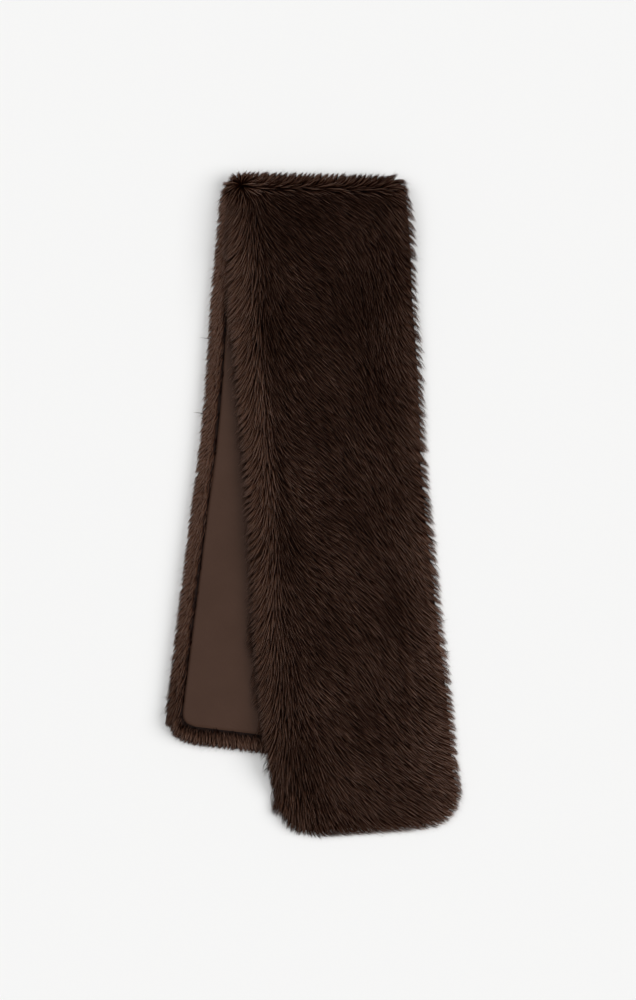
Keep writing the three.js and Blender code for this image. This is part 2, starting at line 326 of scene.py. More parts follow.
# How far the fold's pile leans to the right, from the back leg (0) round to the front leg (1), and at
# the fold's two ends, where it runs off sideways.
FOLD_LEAN = {"turn": [0.0, 0.5, 0.85, 0.96, 1.0], "degrees": [16, 24, 38, 102, 122]}
FOLD_ENDS = {
    "left": {"start": 7.5 * MM, "end": 22.5 * MM, "turn": [0, 1], "degrees": [-60, -60]},
    "right": {"start": 10 * MM, "end": 30 * MM, "turn": [0.1, 0.6, 1], "degrees": [50, 118, 125]},
}


def fold_axis():
    low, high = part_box("lining_fold")
    return np.array([0.0, low.y + (high.x - low.x) / 2 * np.sin(FOLD_TILT), (low.z + high.z) / 2])


def fold_flow(points):
    """Over the fold from the front leg to the back leg, leaning to the right."""
    across = np.array([np.cos(FOLD_TILT), -np.sin(FOLD_TILT), 0.0])
    outward = np.array([np.sin(FOLD_TILT), np.cos(FOLD_TILT), 0.0])
    spoke = points - fold_axis()
    turn = np.arctan2(np.maximum(spoke @ outward, 0), -spoke[:, 2])
    over = outward * -np.cos(turn)[:, None] - UP * np.sin(turn)[:, None]
    lean = np.radians(np.interp(turn / np.pi, FOLD_LEAN["turn"], FOLD_LEAN["degrees"]))
    low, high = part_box("fur_fold")
    for side, distance in (("left", points[:, 0] - low.x), ("right", high.x - points[:, 0])):
        end = FOLD_ENDS[side]
        share = 1 - smooth(distance, end["start"], end["end"])
        end_lean = np.radians(np.interp(turn / np.pi, end["turn"], end["degrees"]))
        lean = lean + (end_lean - lean) * share
    return over * np.cos(lean)[:, None] + across * np.sin(lean)[:, None]


RIM_SPLAY = 1.5  # how much the rim's hair points outward, against down the leg
NEAR_SIDE = 12 * MM
RIM_SLANT = {"x": [-148, -128, -88, -50], "degrees": [-30, -24, 6, 32]}


def back_flow(points):
    """Out over the back leg's rim, and down the leg."""
    outline, hem = sides["fur_back"], ends["fur_back"].low(points[:, 0])
    left = np.exp((outline.low(points[:, 1]) - points[:, 0]) / NEAR_SIDE)
    right = np.exp((points[:, 0] - outline.high(points[:, 1])) / NEAR_SIDE)
    low = np.exp((hem - points[:, 1]) / NEAR_SIDE)
    outward = np.stack([right - left, -low, np.zeros_like(low)], axis=1) * RIM_SPLAY
    slant = np.interp(points[:, 0] / MM, RIM_SLANT["x"], RIM_SLANT["degrees"]) * low
    return unit(outward + plan_direction(slant + swirl(points)))


def flow_at(points, normals, stretch):
    """The direction in which the pile lies, along its surface."""
    flows = np.where((stretch == FRONT)[:, None], front_flow(points), back_flow(points))
    flows = np.where((stretch == FOLD)[:, None], fold_flow(points), flows)
    upper = ((stretch != BACK) & (normals[:, 2] > TURNED_UNDER))[:, None]
    flows = np.where(upper, whorled(flows, points), flows)
    sideways = 1 - np.abs(normals[:, 2])
    flows = flows - UP * (SIDE_DROOP * sideways * (normals[:, 2] > TURNED_UNDER))[:, None]
    along = (flows * normals).sum(axis=1, keepdims=True)
    return unit(flows - normals * along)


# The shade of the pile, from 0, darkest, to 1, lightest, where it grows, with painted shade and sheen in
# places

FOLD_SHADE = 0.4
RIM_SHADE = {"inside": [0, 7, 11, 15], "shade": [0.95, 0.93, 0.83, 0.7]}  # inwards from the outline, darker towards the lining as painted shade of the crease at its seam
HEM_SHADE = {"above": [0, 30, 100, 200], "share": [0.56, 0.67, 0.83, 1.0]}  # of that, up from the hem
FOLD_LEFT = {"start": 8.8 * MM, "end": 22 * MM, "more": 0.3}  # lighter pile at the left end of the fold
PATCHES = [(0.03, 1 / 13, 1 / 29, 2), (0.03, -1 / 41, 1 / 17, 0)]  # waves, in shade
LOCK_SHADE_SPREAD, STRAND_SHADE_SPREAD = 0.03, 0.08


def shade_at(points, stretch):
    patches = waves(points[:, 0], points[:, 1], PATCHES)
    from_left = points[:, 0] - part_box("fur_fold")[0].x
    fold = FOLD_SHADE + FOLD_LEFT["more"] * (1 - smooth(from_left, FOLD_LEFT["start"], FOLD_LEFT["end"]))
    front = over_front(points, SHADE_ROWS, SHADE_COLUMNS_AT)
    inside = edge_near(points, stretch)[0] / MM
    above_hem = (points[:, 1] - ends["fur_back"].low(points[:, 0])) / MM
    # The rim darkens towards the lining: painted shade of the crease at its seam.
    rim = np.interp(inside, RIM_SHADE["inside"], RIM_SHADE["shade"])
    rim = rim * np.interp(above_hem, HEM_SHADE["above"], HEM_SHADE["share"])
    return np.choose(stretch, [rim, fold, front]) + patches


LONG_BAND = {"more": 0.4, "start": 14, "end": 34}  # longer hair at the front leg's left side


def band_length(points, stretch):
    columns = [LONG_BAND["start"], LONG_BAND["end"], FRONT_WIDTH]
    share = over_front(points, {0: [1, 0, 0]}, columns)
    return 1 + LONG_BAND["more"] * share * (stretch == FRONT)


# The outline, which the hair's tips pass in tufts

TUFT_SPACING = {"sides": [5 * MM, 8 * MM, 8.5 * MM], "fold": 6 * MM, "hems": 4.5 * MM}
TUFT_TIP = {"sides": 0.3, "fold": 0.7, "hems": 0.5}  # where it lies from one gap (0) to the next (1)
UNEVEN_TUFTS = [(0.4, 1.9, 0), (0.3, 0.73, 1)]  # shifts in tufts, over how many tufts, and the phase
GATHERING = {"sides": 0.68, "fold": 0.45, "hems": 0.4}  # how far the hair turns towards a tuft's tip
TUFTS = {  # how far the tips end beyond the outline, and the tufts' height: left, right and at the end
    BACK: {"reach": (1.4, 1.5, 3.0), "height": (5.4, 3.0, 3.0)},
    FOLD: {"reach": (1.0, 3.4, 1.2), "height": (3.5, 3.0, 2.6)},
    FRONT: {"reach": (1.4, 5.2, 5.8), "height": (4.0, 5.4, 2.6)},
}
TUFT_REACH = 12 * MM  # how far inside the outline the hair is gathered into tufts
RAGGED = {"below": [0, 60, 130, 420, 520], "share": [0.7, 0.6, 1.0, 1.0, 0.45]}  # of the front's sides
TOP_OVERHANG = {"more": 4 * MM, "start": 70 * MM, "end": 140 * MM}  # at the left, below the fold


def edge_near(points, stretch):
    """The distance inside the nearest side or end, the place along it, which it is and its line."""
    x, y = points[:, 0], points[:, 1]
    distances = []
    for number, node in enumerate(FUR_NODES):
        end = ends[node].high(x) - y if number == FOLD else y - ends[node].low(x)
        distances.append(np.stack([x - sides[node].low(y), sides[node].high(y) - x, end]))
    distance = np.choose(stretch[None], distances)
    which = distance.argmin(axis=0)
    at_end = which == 2
    line = np.where(at_end[:, None], [[1.0, 0, 0]], [[0, 1.0, 0]])
    return distance.min(axis=0), np.where(at_end, x, y), which, line


def by_edge(values, which, stretch):
    """The value for the sides, or for the end there is: the fold or a hem."""
    end = np.where(stretch == FOLD, values["fold"], values["hems"])
    return np.where(which < 2, values["sides"], end)


def tuft_phase(place, spacing):
    """From 0 to 1 from one gap between tufts to the next, unevenly spaced."""
    turns = place / spacing
    shift = sum(size * np.sin(turns / tufts + phase) for size, tufts, phase in UNEVEN_TUFTS)
    return (turns + shift) % 1


def gathered(roots, flows, lengths, stretch):
    """Turns the hair near the outline to the tips of tufts, and gives how far past it each may end."""
    within = shortened(roots, flows, lengths, stretch, 0)
    tips = roots + flows * within[:, None]
    distance, along, which, line = edge_near(tips, stretch)
    at_sides = np.take(TUFT_SPACING["sides"], stretch)
    spacing = by_edge(TUFT_SPACING | {"sides": at_sides}, which, stretch)
    phase, tip = tuft_phase(along, spacing), by_edge(TUFT_TIP, which, stretch)
    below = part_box("fur_fold")[1].y - tips[:, 1]
    ragged = np.interp(below / MM, RAGGED["below"], RAGGED["share"])
    ragged = np.where((stretch == FRONT) & (which < 2), ragged, 1)
    pull = (tip - phase) * spacing * by_edge(GATHERING, which, stretch) * ragged
    pull *= 1 - smooth(distance, 0, TUFT_REACH)
    reach = flows * within[:, None] + line * pull[:, None]
    longer = np.linalg.norm(reach, axis=1) / within
    peak = np.where(phase < tip, phase / tip, (1 - phase) / (1 - tip))
    return unit(reach), lengths * longer, past_outline(below, which, stretch, (peak - 0.5) * ragged)


def past_outline(below, which, stretch, peak):
    """How far beyond the outline tips may end. The peak is -0.5 between tufts and 0.5 at their tips."""
    reach, height = (
        np.choose(stretch, [np.take(TUFTS[part][what], which) for part in (BACK, FOLD, FRONT)]) * MM
        for what in ("reach", "height")
    )
    hanging = (stretch == FRONT) & (which == 0)
    more = TOP_OVERHANG["more"] * (1 - smooth(below, TOP_OVERHANG["start"], TOP_OVERHANG["end"]))
    return reach + height * peak + more * hanging


# Scattering and growing the locks

TRIES = 3.5  # for each place of a square grid with this spacing
SHORTEST = 0.3  # share of its length to which hair may be cut back
LEFT_LENGTHS = np.linspace(0.4, 1, 9)  # and the longer shares that are tried
FOLD_DEPTH = 60 * MM  # how far down the legs the fold's hair may reach


def scattered(points, normals, triangles, stretch, spacing, rng):
    """Places spread evenly over the given triangles, at least spacing apart."""
    a, b, c = (points[triangles[:, k]] for k in range(3))
    areas = np.linalg.norm(np.cross(b - a, c - a), axis=1) / 2
    tries = int(areas.sum() / spacing**2 * TRIES)
    chosen = rng.choice(len(triangles), tries, p=areas / areas.sum())
    u, v = rng.random((2, tries))
    u, v = np.where(u + v > 1, [1 - u, 1 - v], [u, v])
    weights = np.stack([1 - u - v, u, v], axis=1)[:, :, None]
    places = (points[triangles[chosen]] * weights).sum(axis=1)
    cells, kept = {}, []
    for i, place in enumerate(places.tolist()):
        x, y, z = (int(part // spacing) for part in place)
        near = [
            other
            for dx in (-1, 0, 1)
            for dy in (-1, 0, 1)
            for dz in (-1, 0, 1)
            for other in cells.get((x + dx, y + dy, z + dz), ())
        ]
        if all(sum((p - q) ** 2 for p, q in zip(place, other)) > spacing**2 for other in near):
            cells.setdefault((x, y, z), []).append(place)
            kept.append(i)
    normals = unit((normals[triangles[chosen[kept]]] * weights[kept]).sum(axis=1))
    return places[kept], normals, stretch[chosen[kept]]


def support_under(nodes, step=2.5 * MM):
    """A function that gives the height of the highest of these solids under any place."""
    low = np.min([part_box(node)[0] for node in nodes], axis=0)
    high = np.max([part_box(node)[1] for node in nodes], axis=0)
    tree = tree_of(*(solids[node] for node in nodes))
    counts = np.ceil((high - low)[:2] / step).astype(int) + 1
    heights = np.zeros(counts)
    for i in range(counts[0]):
        for j in range(counts[1]):
            start = (low[0] + i * step, low[1] + j * step, RAY_START)
            hit = tree.ray_cast(start, (0, 0, -1))[0]
            heights[i, j] = hit.z if hit else 0

    def height(points):
        cell = np.round((points[..., :2] - low[:2]) / step).astype(int)
        inside = ((cell >= 0) & (cell < counts)).all(axis=-1)
        cell = np.clip(cell, 0, counts - 1)
        return np.where(inside, heights[cell[..., 0], cell[..., 1]], 0)

    return height


def inside_outline(points, stretch):
    front, back, fold = sides["fur_front"], sides["fur_back"], ends["fur_fold"]
    x, y = points[:, 0], points[:, 1]

    def between(outline, across, along):
        within = (along > outline.at[0]) & (along < outline.at[-1])
        return within & (across > outline.low(along)) & (across < outline.high(along))

    in_front, in_back = between(front, x, y), between(back, x, y)
    in_fold = (y < fold.high(x)) & (x > fold.at[0]) & (x < fold.at[-1])
    in_fold &= y > front.at[-1] - FOLD_DEPTH
    return np.choose(stretch, [in_back | in_fold, in_fold, in_front | in_fold])


def shortened(places, flows, lengths, stretch, beyond):
    """Lengths cut back until the tips, seen from above, stay within the outline and a little more."""
    fitted = lengths * SHORTEST
    for share in LEFT_LENGTHS:
        reach = lengths * share
        held = np.maximum(reach - beyond, 0)
        fits = inside_outline(places + flows * held[:, None], stretch)
        fitted = np.where(fits, reach, fitted)
    return fitted


def turned(flows, normals, degrees):
    """Directions turned about the surface's normals."""
    angle = np.radians(degrees)[:, None]
    return flows * np.cos(angle) + np.cross(normals, flows) * np.sin(angle)


class Growth:
    """How one kind of hair grows, in millimetres: locks of strands, and looser strands between them."""

    wander = 8  # degrees by which a lock leaves the flow
    stray = 0.2  # share of the strands that leave their lock
    segments = 2
    lift = 0.0  # how far the tips end above the surface of the solids
    past = 0.0  # how much further past the outline they may end
    tips = 1.0  # brightness of the shade
    lighter = 0.0  # and what's added to it, a painted highlight
    root = 0.0  # how far along its colours the hair starts

    def __init__(self, spacing, strands, length, width, **others):
        self.spacing, self.length, self.width = spacing * MM, length * MM, width * MM
        self.strands = strands
        for name, value in others.items():
            setattr(self, name, value)


# One lock
ROOT_SHIFT = [0.16, 0.25, 0.25]  # how far back it starts, of its length
LOCK_LENGTHS = (0.86, 1.1)  # of the length that's given
UNEVEN_REACH = 0.6 * MM  # more or less past the outline

# One strand of a lock
ROOT_REACH = 0.62  # how far from the lock's middle it may start, of the spacing
TIP_SPREAD = {"locked": 0.12, "stray": 0.5}  # how far its tip spreads sideways, of the spacing
TIP_LIFT_SPREAD = 0.5  # and upward, of that
STRAND_LENGTHS, STRAND_WIDTHS = (0.95, 1.03), (0.75, 1.2)
RISE_SPREAD = 0.3 * MM
CURVE = {"root": 1.3, "reach": 1.2, "rise": 1.8}  # exponents that bend its way
LIGHTEST = 0.999  # within the last column of shades


def grow_locks(places, normals, stretch, growth, rng, support):
    """Each lock's root and direction, its length, how far past the outline it may end, and its shade."""
    count = len(places)
    flows = turned(flow_at(places, normals, stretch), normals, rng.normal(0, growth.wander, count))
    lengths = growth.length * rng.uniform(*LOCK_LENGTHS, count) * band_length(places, stretch)
    roots = places - flows * (lengths * np.take(ROOT_SHIFT, stretch))[:, None]
    on_lining = (stretch == BACK) & (support(roots) > 0)
    roots = np.where(on_lining[:, None], places, roots)
    flows, lengths, beyond = gathered(roots, flows, lengths, stretch)
    beyond = beyond + growth.past * MM + rng.uniform(-UNEVEN_REACH, UNEVEN_REACH, count)
    lengths = shortened(roots, flows, lengths, stretch, beyond)
    shade = shade_at(places, stretch) * growth.tips + growth.lighter
    return roots, flows, lengths, beyond, shade + rng.normal(0, LOCK_SHADE_SPREAD, count)


def strand_shifts(flows, normals, growth, rng):
    """How far each strand's root and its tip lie from those of its lock."""
    total = len(flows)
    across = unit(np.cross(normals, flows))
    angle = rng.uniform(0, 2 * np.pi, total)
    root_reach = np.sqrt(rng.random(total)) * ROOT_REACH * growth.spacing
    root_shift = flows * (np.cos(angle) * root_reach)[:, None]
    root_shift += across * (np.sin(angle) * root_reach)[:, None]
    strays = rng.random(total) < growth.stray
    tip_spread = np.where(strays, TIP_SPREAD["stray"], TIP_SPREAD["locked"]) * growth.spacing
    tip_shift = across * (rng.normal(0, 1, total) * tip_spread)[:, None]
    tip_shift += normals * (rng.normal(0, TIP_LIFT_SPREAD, total) * tip_spread)[:, None]
    return root_shift, tip_shift


def above_ground(paths, support):
    """Lifts the paths where they would run into the floor or the cloth below them."""
    ground = support(paths)
    lowest = ground + np.where(ground > 0, CLOTH_CLEARANCE, FLOOR_CLEARANCE)
    paths[..., 2] = np.maximum(paths[..., 2], lowest)
    return paths


def grow(places, normals, stretch, growth, rng, support):
    """The strands' paths, normals, widths and shades, from places on the surface of the solids."""
    roots, flows, lengths, beyond, shade = grow_locks(places, normals, stretch, growth, rng, support)
    depth = panel_depth(places, normals, stretch) + ROOT_DEPTH
    roots = roots - normals * depth[:, None]
    rise = depth + growth.lift * MM + beyond * (1 - np.abs(normals[:, 2]))

    lock = np.repeat(np.arange(len(places)), growth.strands)
    total = len(lock)
    roots, flows, normals = roots[lock], flows[lock], normals[lock]
    root_shift, tip_shift = strand_shifts(flows, normals, growth, rng)
    lengths = lengths[lock] * rng.uniform(*STRAND_LENGTHS, total)
    rise = rise[lock] + rng.normal(0, RISE_SPREAD, total)

    t = np.linspace(0, 1, growth.segments + 1)[None, :, None]
    paths = roots[:, None] + root_shift[:, None] * (1 - t ** CURVE["root"])
    paths += flows[:, None] * (lengths[:, None, None] * t ** CURVE["reach"])
    paths += normals[:, None] * (rise[:, None, None] * (1 - (1 - t) ** CURVE["rise"]))
    paths += tip_shift[:, None] * t
    width = growth.width * rng.uniform(*STRAND_WIDTHS, total)
    shade = shade[lock] + rng.normal(0, STRAND_SHADE_SPREAD, total)
    return above_ground(paths, support), normals, width, np.clip(shade, 0, LIGHTEST)


# Strands as meshes

RING = 3
TAPER = 0.25  # of its width, lost on its way, before it ends in a point
FLATNESS = 0.7  # a strand's height, of its width
LOWEST_CORNER = 0.05 * MM
SHADE_COLUMNS = 64
COLUMN_MARGIN, ROW_MARGIN = 0.1, 0.01  # of a column, and of the map's height
ROOT_FACE_LEVEL = 0.02  # how far up the map the face at the root reaches


def strand_points(paths, normals, width):
    """The corners of each strand's rings, and its tip."""
    segments = paths.shape[1] - 1
    tangents = unit(np.gradient(paths, axis=1))[:, :-1]
    side = unit(np.cross(tangents, normals[:, None]))
    top = np.cross(side, tangents)
    taper = 1 - TAPER * np.arange(segments) / segments
    radius = (width / 2)[:, None] * taper[None]
    corners = []
    for k in range(RING):
        angle = np.pi / 2 + 2 * np.pi * k / RING
        offset = side * np.cos(angle) + top * np.sin(angle) * FLATNESS
        corners.append(paths[:, :-1] + offset * radius[:, :, None])
    corners = np.stack(corners, axis=2)
    corners[..., 2] = np.maximum(corners[..., 2], LOWEST_CORNER)
    return np.concatenate([corners.reshape(len(paths), -1, 3), paths[:, -1:]], axis=1)


def strand_faces(segments, levels):
    """One strand's triangles, and the places of their corners round it and along it."""
    tip = segments * RING
    faces, places = [], []
    for r in range(segments):
        for k in range(RING):
            here, beside = r * RING + k, r * RING + (k + 1) % RING
            low, high = k / RING, (k + 1) / RING
            a, b = (low, levels[r]), (high, levels[r])
            c, d = (high, levels[r + 1]), (low, levels[r + 1])
            if r + 1 < segments:
                faces += [(here, beside, beside + RING), (here, beside + RING, here + RING)]
                places += [(a, b, c), (a, c, d)]
            else:
                faces.append((here, beside, tip))
                places.append((a, b, ((low + high) / 2, 1.0)))
    root = levels[0]
    faces.append((0, 2, 1))
    places.append(((0.0, root), (0.5, root + ROOT_FACE_LEVEL), (1.0, root)))
    return np.array(faces), np.array(places)


def strand_mesh(name, paths, normals, width, shade, root):
    """Closed tapered strands, three-sided, with their shade and their place along as attributes."""
    count, segments = len(paths), paths.shape[1] - 1
    levels = np.linspace(root, 1, segments + 1)
    points = strand_points(paths, normals, width)
    faces, places = strand_faces(segments, levels)
    per_strand = points.shape[1]
    triangles = (faces[None] + np.arange(count)[:, None, None] * per_strand).reshape(-1, 3)
    piece = mesh_piece(name, points.reshape(-1, 3), triangles, hair_material)

    column = np.floor(shade * SHADE_COLUMNS)
    in_column = COLUMN_MARGIN + (1 - 2 * COLUMN_MARGIN) * places[None, :, :, 0]
    u = (column[:, None, None] + in_column) / SHADE_COLUMNS
    v = np.broadcast_to(ROW_MARGIN + (1 - 2 * ROW_MARGIN) * places[None, :, :, 1], u.shape)
    layer = piece.data.uv_layers.new(name="OFBake")
    layer.data.foreach_set("uv", np.stack([u, v], axis=-1).astype(np.float32).ravel())
    attribute(piece, "shade", np.repeat((column + 0.5) / SHADE_COLUMNS, per_strand))
    attribute(piece, "along", np.tile(np.append(np.repeat(levels[:-1], RING), 1.0), count))
    return piece


def attribute(piece, name, values):
    layer = piece.data.attributes.new(name, "FLOAT", "POINT")
    layer.data.foreach_set("value", values.astype(np.float32))


def mesh_piece(name, points, triangles, material):
    mesh = bpy.data.meshes.new(name)
    mesh.vertices.add(len(points))
    mesh.vertices.foreach_set("co", points.astype(np.float32).ravel())
    mesh.loops.add(triangles.size)
    mesh.loops.foreach_set("vertex_index", triangles.astype(np.int32).ravel())
    mesh.polygons.add(len(triangles))
    mesh.polygons.foreach_set("loop_start", np.arange(0, triangles.size, 3, dtype=np.int32))
    mesh.polygons.foreach_set("use_smooth", np.ones(len(triangles), bool))
    mesh.update(calc_edges=True)
    mesh.materials.append(material)
    piece = bpy.data.objects.new(name, mesh)
    bpy.context.scene.collection.objects.link(piece)
    return piece


# Materials

class Nodes:
    """Short calls for making a material's nodes."""

    def __init__(self, name):
        self.material = bpy.data.materials.new(name)
        self.material.use_nodes = True
        self.tree = self.material.node_tree
        self.shader = self.tree.nodes["Principled BSDF"]

    def add(self, kind, **settings):
        node = self.tree.nodes.new(kind)
        for key, value in settings.items():
            setattr(node, key, value)
        return node

    def link(self, source, target):
        self.tree.links.new(source, target)

    def ramp(self, source, stops):
        """A colour ramp over a number, from its stops: (place, (red, green, blue))."""
        node = self.add("ShaderNodeValToRGB")
        node.color_ramp.elements[0].position = stops[0][0]
        node.color_ramp.elements[0].color = (*stops[0][1], 1)
        node.color_ramp.elements[1].position = stops[-1][0]
        node.color_ramp.elements[1].color = (*stops[-1][1], 1)
        for place, colour in stops[1:-1]:
            node.color_ramp.elements.new(place).color = (*colour, 1)
        self.link(source, node.inputs["Fac"])
        return node.outputs["Color"]

    def times(self, one, other):
        node = self.add("ShaderNodeMix", data_type="RGBA", blend_type="MULTIPLY")
        node.inputs["Factor"].default_value = 1
        self.link(one, node.inputs["A"])
        self.link(other, node.inputs["B"])
        return node.outputs["Result"]

    def attribute(self, name):
        return self.add("ShaderNodeAttribute", attribute_name=name).outputs["Fac"]

    def place(self):
        return self.add("ShaderNodeTexCoord").outputs["Object"]

    def stretched(self, source, scale, turn=(0, 0, 0)):
        node = self.add("ShaderNodeMapping")
        node.inputs["Scale"].default_value = scale
        node.inputs["Rotation"].default_value = turn
        self.link(source, node.inputs["Vector"])
        return node.outputs["Vector"]

    def noise(self, source, scale, detail=2.0):
        node = self.add("ShaderNodeTexNoise")
        node.inputs["Scale"].default_value = scale
        node.inputs["Detail"].default_value = detail
        self.link(source, node.inputs["Vector"])
        return node.outputs["Fac"]

    def bump(self, height, distance):
        node = self.add("ShaderNodeBump")
        node.inputs["Distance"].default_value = distance
        self.link(height, node.inputs["Height"])
        return node.outputs["Normal"]

    def finish(self, colour, normal=None, **constants):
        self.link(colour, self.shader.inputs["Base Color"])
        if normal:
            self.link(normal, self.shader.inputs["Normal"])
        for name, value in constants.items():
            self.shader.inputs[name.replace("_", " ")].default_value = value
        return self.material


def hair_finish():
    """Dark at the root, lighter to the tip, and tinted by the strand's shade: the fur's own tipped
    colour, with the near-black roots partly painted shade deep in the pile and the pale tips partly
    painted sheen.
    """
    nodes = Nodes("hair")
    along = nodes.ramp(
        nodes.attribute("along"),
        [
            (0.0, (0.004, 0.0009, 0.0003)),
            (0.35, (0.026, 0.0068, 0.0026)),
            (0.63, (0.225, 0.115, 0.075)),
            (1.0, (0.74, 0.5, 0.405)),
        ],
    )
    shade = nodes.ramp(
        nodes.attribute("shade"),
        [
            (0.0, (0.03, 0.02, 0.014)),
            (0.3, (0.08, 0.062, 0.054)),
            (0.6, (0.3, 0.265, 0.245)),
            (1.0, (1.0, 1.0, 1.0)),
        ],
    )
    # No specular: the sheen is painted into the tips' pale colour.
    return nodes.finish(nodes.times(along, shade), Roughness=0.6, Specular_IOR_Level=0.0)


def panel_finish():
    """The ground of the pile between the locks, near black: partly its own dark colour and partly painted
    shade deep in the pile.
    """
    nodes = Nodes("pile_ground_and_shade")
    combed = nodes.stretched(nodes.place(), (1.0, 0.2, 1.0), (0, 0, 0.6))
    strands = nodes.noise(combed, 900)
    colour = nodes.ramp(strands, [(0.3, (0.003, 0.0009, 0.0004)), (0.7, (0.012, 0.004, 0.002))])
    return nodes.finish(colour, nodes.bump(strands, 0.6 * MM), Roughness=0.8, Specular_IOR_Level=0.15)


def satin_finish():
    """Plain brown satin: a fine twill, a trace of cloudiness, and a soft shine."""
    nodes = Nodes("satin")
    place = nodes.place()
    cloudy = nodes.noise(place, 35)
    threads = nodes.noise(nodes.stretched(place, (2600, 260, 1), (0, 0, 0.5)), 1.0, 0.0)
    colour = nodes.ramp(cloudy, [(0.3, (0.0575, 0.0295, 0.0195)), (0.7, (0.0635, 0.033, 0.0222))])
    fine = nodes.ramp(threads, [(0.2, (0.9, 0.9, 0.9)), (0.8, (1, 1, 1))])
    woven = nodes.bump(threads, 0.03 * MM)
    return nodes.finish(nodes.times(colour, fine), woven, Roughness=0.55, Specular_IOR_Level=0.08)


def plain_finish(name, colour, roughness):
    nodes = Nodes(name)
    nodes.shader.inputs["Base Color"].default_value = (*colour, 1)
    nodes.shader.inputs["Roughness"].default_value = roughness
    return nodes.material


hair_material = hair_finish()
panel_material = panel_finish()
satin_material = satin_finish()


# The lining

PUCKERS = {"height": 0.4 * MM, "reach": 9 * MM}
PUCKER_SPACING = {"sides": 7.5 * MM, "hem": 7.5 * MM / 1.1}
SIDE_PUCKERS = 0.7  # their height at the sides, of that at the hem
PUCKER_DRIFT = [(1.6, 0, 1 / 31, 0), (2.2, 1 / 23, 0, 0)]  # waves, in radians
PUCKER_SHARE = 0.55
UNEVEN_PUCKERS = [(0.45, 1 / 13, 1 / 19, 0)]  # waves, in more or less of that share
TURNED_EDGE = {"width": 2.2 * MM, "drop": 0.8 * MM}
SOFT_FOLDS = [(0.25 * MM, 1 / 17, 1 / 61, 0.7), (0.2 * MM, -1 / 29, 1 / 23, 2.9)]  # waves, in metres
LINING_GRID = {"lining_back": (3 * MM, 48), "lining_front": (5 * MM, 26)}  # row step and columns
CROWDING = 0.35  # how much the grid's columns crowd towards the sides
SIDE_INSET = 0.0005  # of the width, so that rays at the sides still meet the solid
THINNEST = 0.25 * MM


def lining_relief(x, y, outline, hem):
    """The height of the lining's puckers and soft folds, and the drop of its turned edge."""
    to_left, to_right, to_hem = x - outline.low(y), outline.high(y) - x, y - hem(x)
    to_side = np.minimum(to_left, to_right)
    drift = waves(x, y, PUCKER_DRIFT)
    uneven = PUCKER_SHARE + waves(x, y, UNEVEN_PUCKERS)
    along_side = np.sin(2 * np.pi * y / PUCKER_SPACING["sides"] + drift)
    along_hem = np.sin(2 * np.pi * x / PUCKER_SPACING["hem"] + drift)
    puckers = along_side * np.exp(-to_side / PUCKERS["reach"]) * SIDE_PUCKERS
    puckers = puckers + along_hem * np.exp(-to_hem / PUCKERS["reach"])
    soft = waves(x, y, SOFT_FOLDS)
    inner = smooth(np.minimum(to_side, to_hem), 0, TURNED_EDGE["width"])
    return (puckers * uneven * PUCKERS["height"] + soft) * inner - TURNED_EDGE["drop"] * (1 - inner)


def leg_lining(node, upward):
    """A leg's lining as a thin shell on its solid: the relief is on the side that faces the wearer."""
    outline, hem = sides[node], ends[node].low
    step, columns = LINING_GRID[node]
    rows = np.concatenate([np.arange(outline.at[0], outline.at[-1], step), outline.at[-1:]])
    even = np.linspace(0, 1, columns + 1)
    share = (1 - CROWDING) * even + CROWDING * (1 - np.cos(np.pi * even)) / 2
    low, high = outline.low(rows)[:, None], outline.high(rows)[:, None]
    x = low + (high - low) * (SIDE_INSET + (1 - 2 * SIDE_INSET) * share[None])
    y = np.broadcast_to(rows[:, None], x.shape)
    faces = np.stack([ray_height(trees[node], x, y, down) for down in (False, True)])
    relief = lining_relief(x, y, outline, hem)
    if upward:
        faces[1] += relief
        faces[0] = np.minimum(faces[0], faces[1] - THINNEST)
    else:
        faces[0] -= relief
        faces[1] = np.maximum(faces[1], faces[0] + THINNEST)
    return shell(node, x, y, faces)


def ray_height(tree, x, y, down):
    """The height of a surface at each place, from above or from below."""
    start, way = (RAY_START, -1.0) if down else (-RAY_START, 1.0)
    heights = np.full(x.size, np.nan)
    for i, (px, py) in enumerate(zip(x.ravel().tolist(), y.ravel().tolist())):
        hit = tree.ray_cast((px, py, start), (0, 0, way))[0]
        if hit:
            heights[i] = hit.z
    found = np.flatnonzero(~np.isnan(heights))
    return np.interp(np.arange(x.size), found, heights[found]).reshape(x.shape)


def shell(name, x, y, faces):
    """A closed thin shell between a lower and an upper grid of heights."""
    rows, columns = x.shape
    grids = [np.stack([x, y, z], axis=-1).reshape(-1, 3) for z in faces]
    index = np.arange(rows * columns).reshape(rows, columns)
    corners = (index[:-1, :-1], index[:-1, 1:], index[1:, 1:], index[1:, :-1])
    a, b, c, d = (corner.ravel() for corner in corners)
    top = np.concatenate([np.stack([a, b, c], 1), np.stack([a, c, d], 1)])
    rim = np.concatenate([index[0], index[1:, -1], index[-1, -2::-1], index[-2:0:-1, 0]])
    after = np.roll(rim, -1)
    size = rows * columns
    wall = [np.stack([rim, after, after + size], 1), np.stack([rim, after + size, rim + size], 1)]
    triangles = np.concatenate([top[:, ::-1], top + size, *wall])
    return mesh_piece("satin_" + name.split("_")[1], np.concatenate(grids), triangles, satin_material)


def fold_lining():
    """The lining's short stretch inside the fold, smoothed on its solid."""
    points, triangles = solids["lining_fold"]
    stretch = np.zeros(len(triangles), int)
    points, triangles, _ = divided(points, triangles, stretch)
    return mesh_piece("satin_fold", points, triangles, satin_material)


def add_lining():
    pieces = {
        "lining_back": leg_lining("lining_back", upward=True),
        "lining_fold": fold_lining(),
        "lining_front": leg_lining("lining_front", upward=False),
    }
    for node, piece in pieces.items():
        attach(piece, "root")
        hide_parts(node)


# The fur

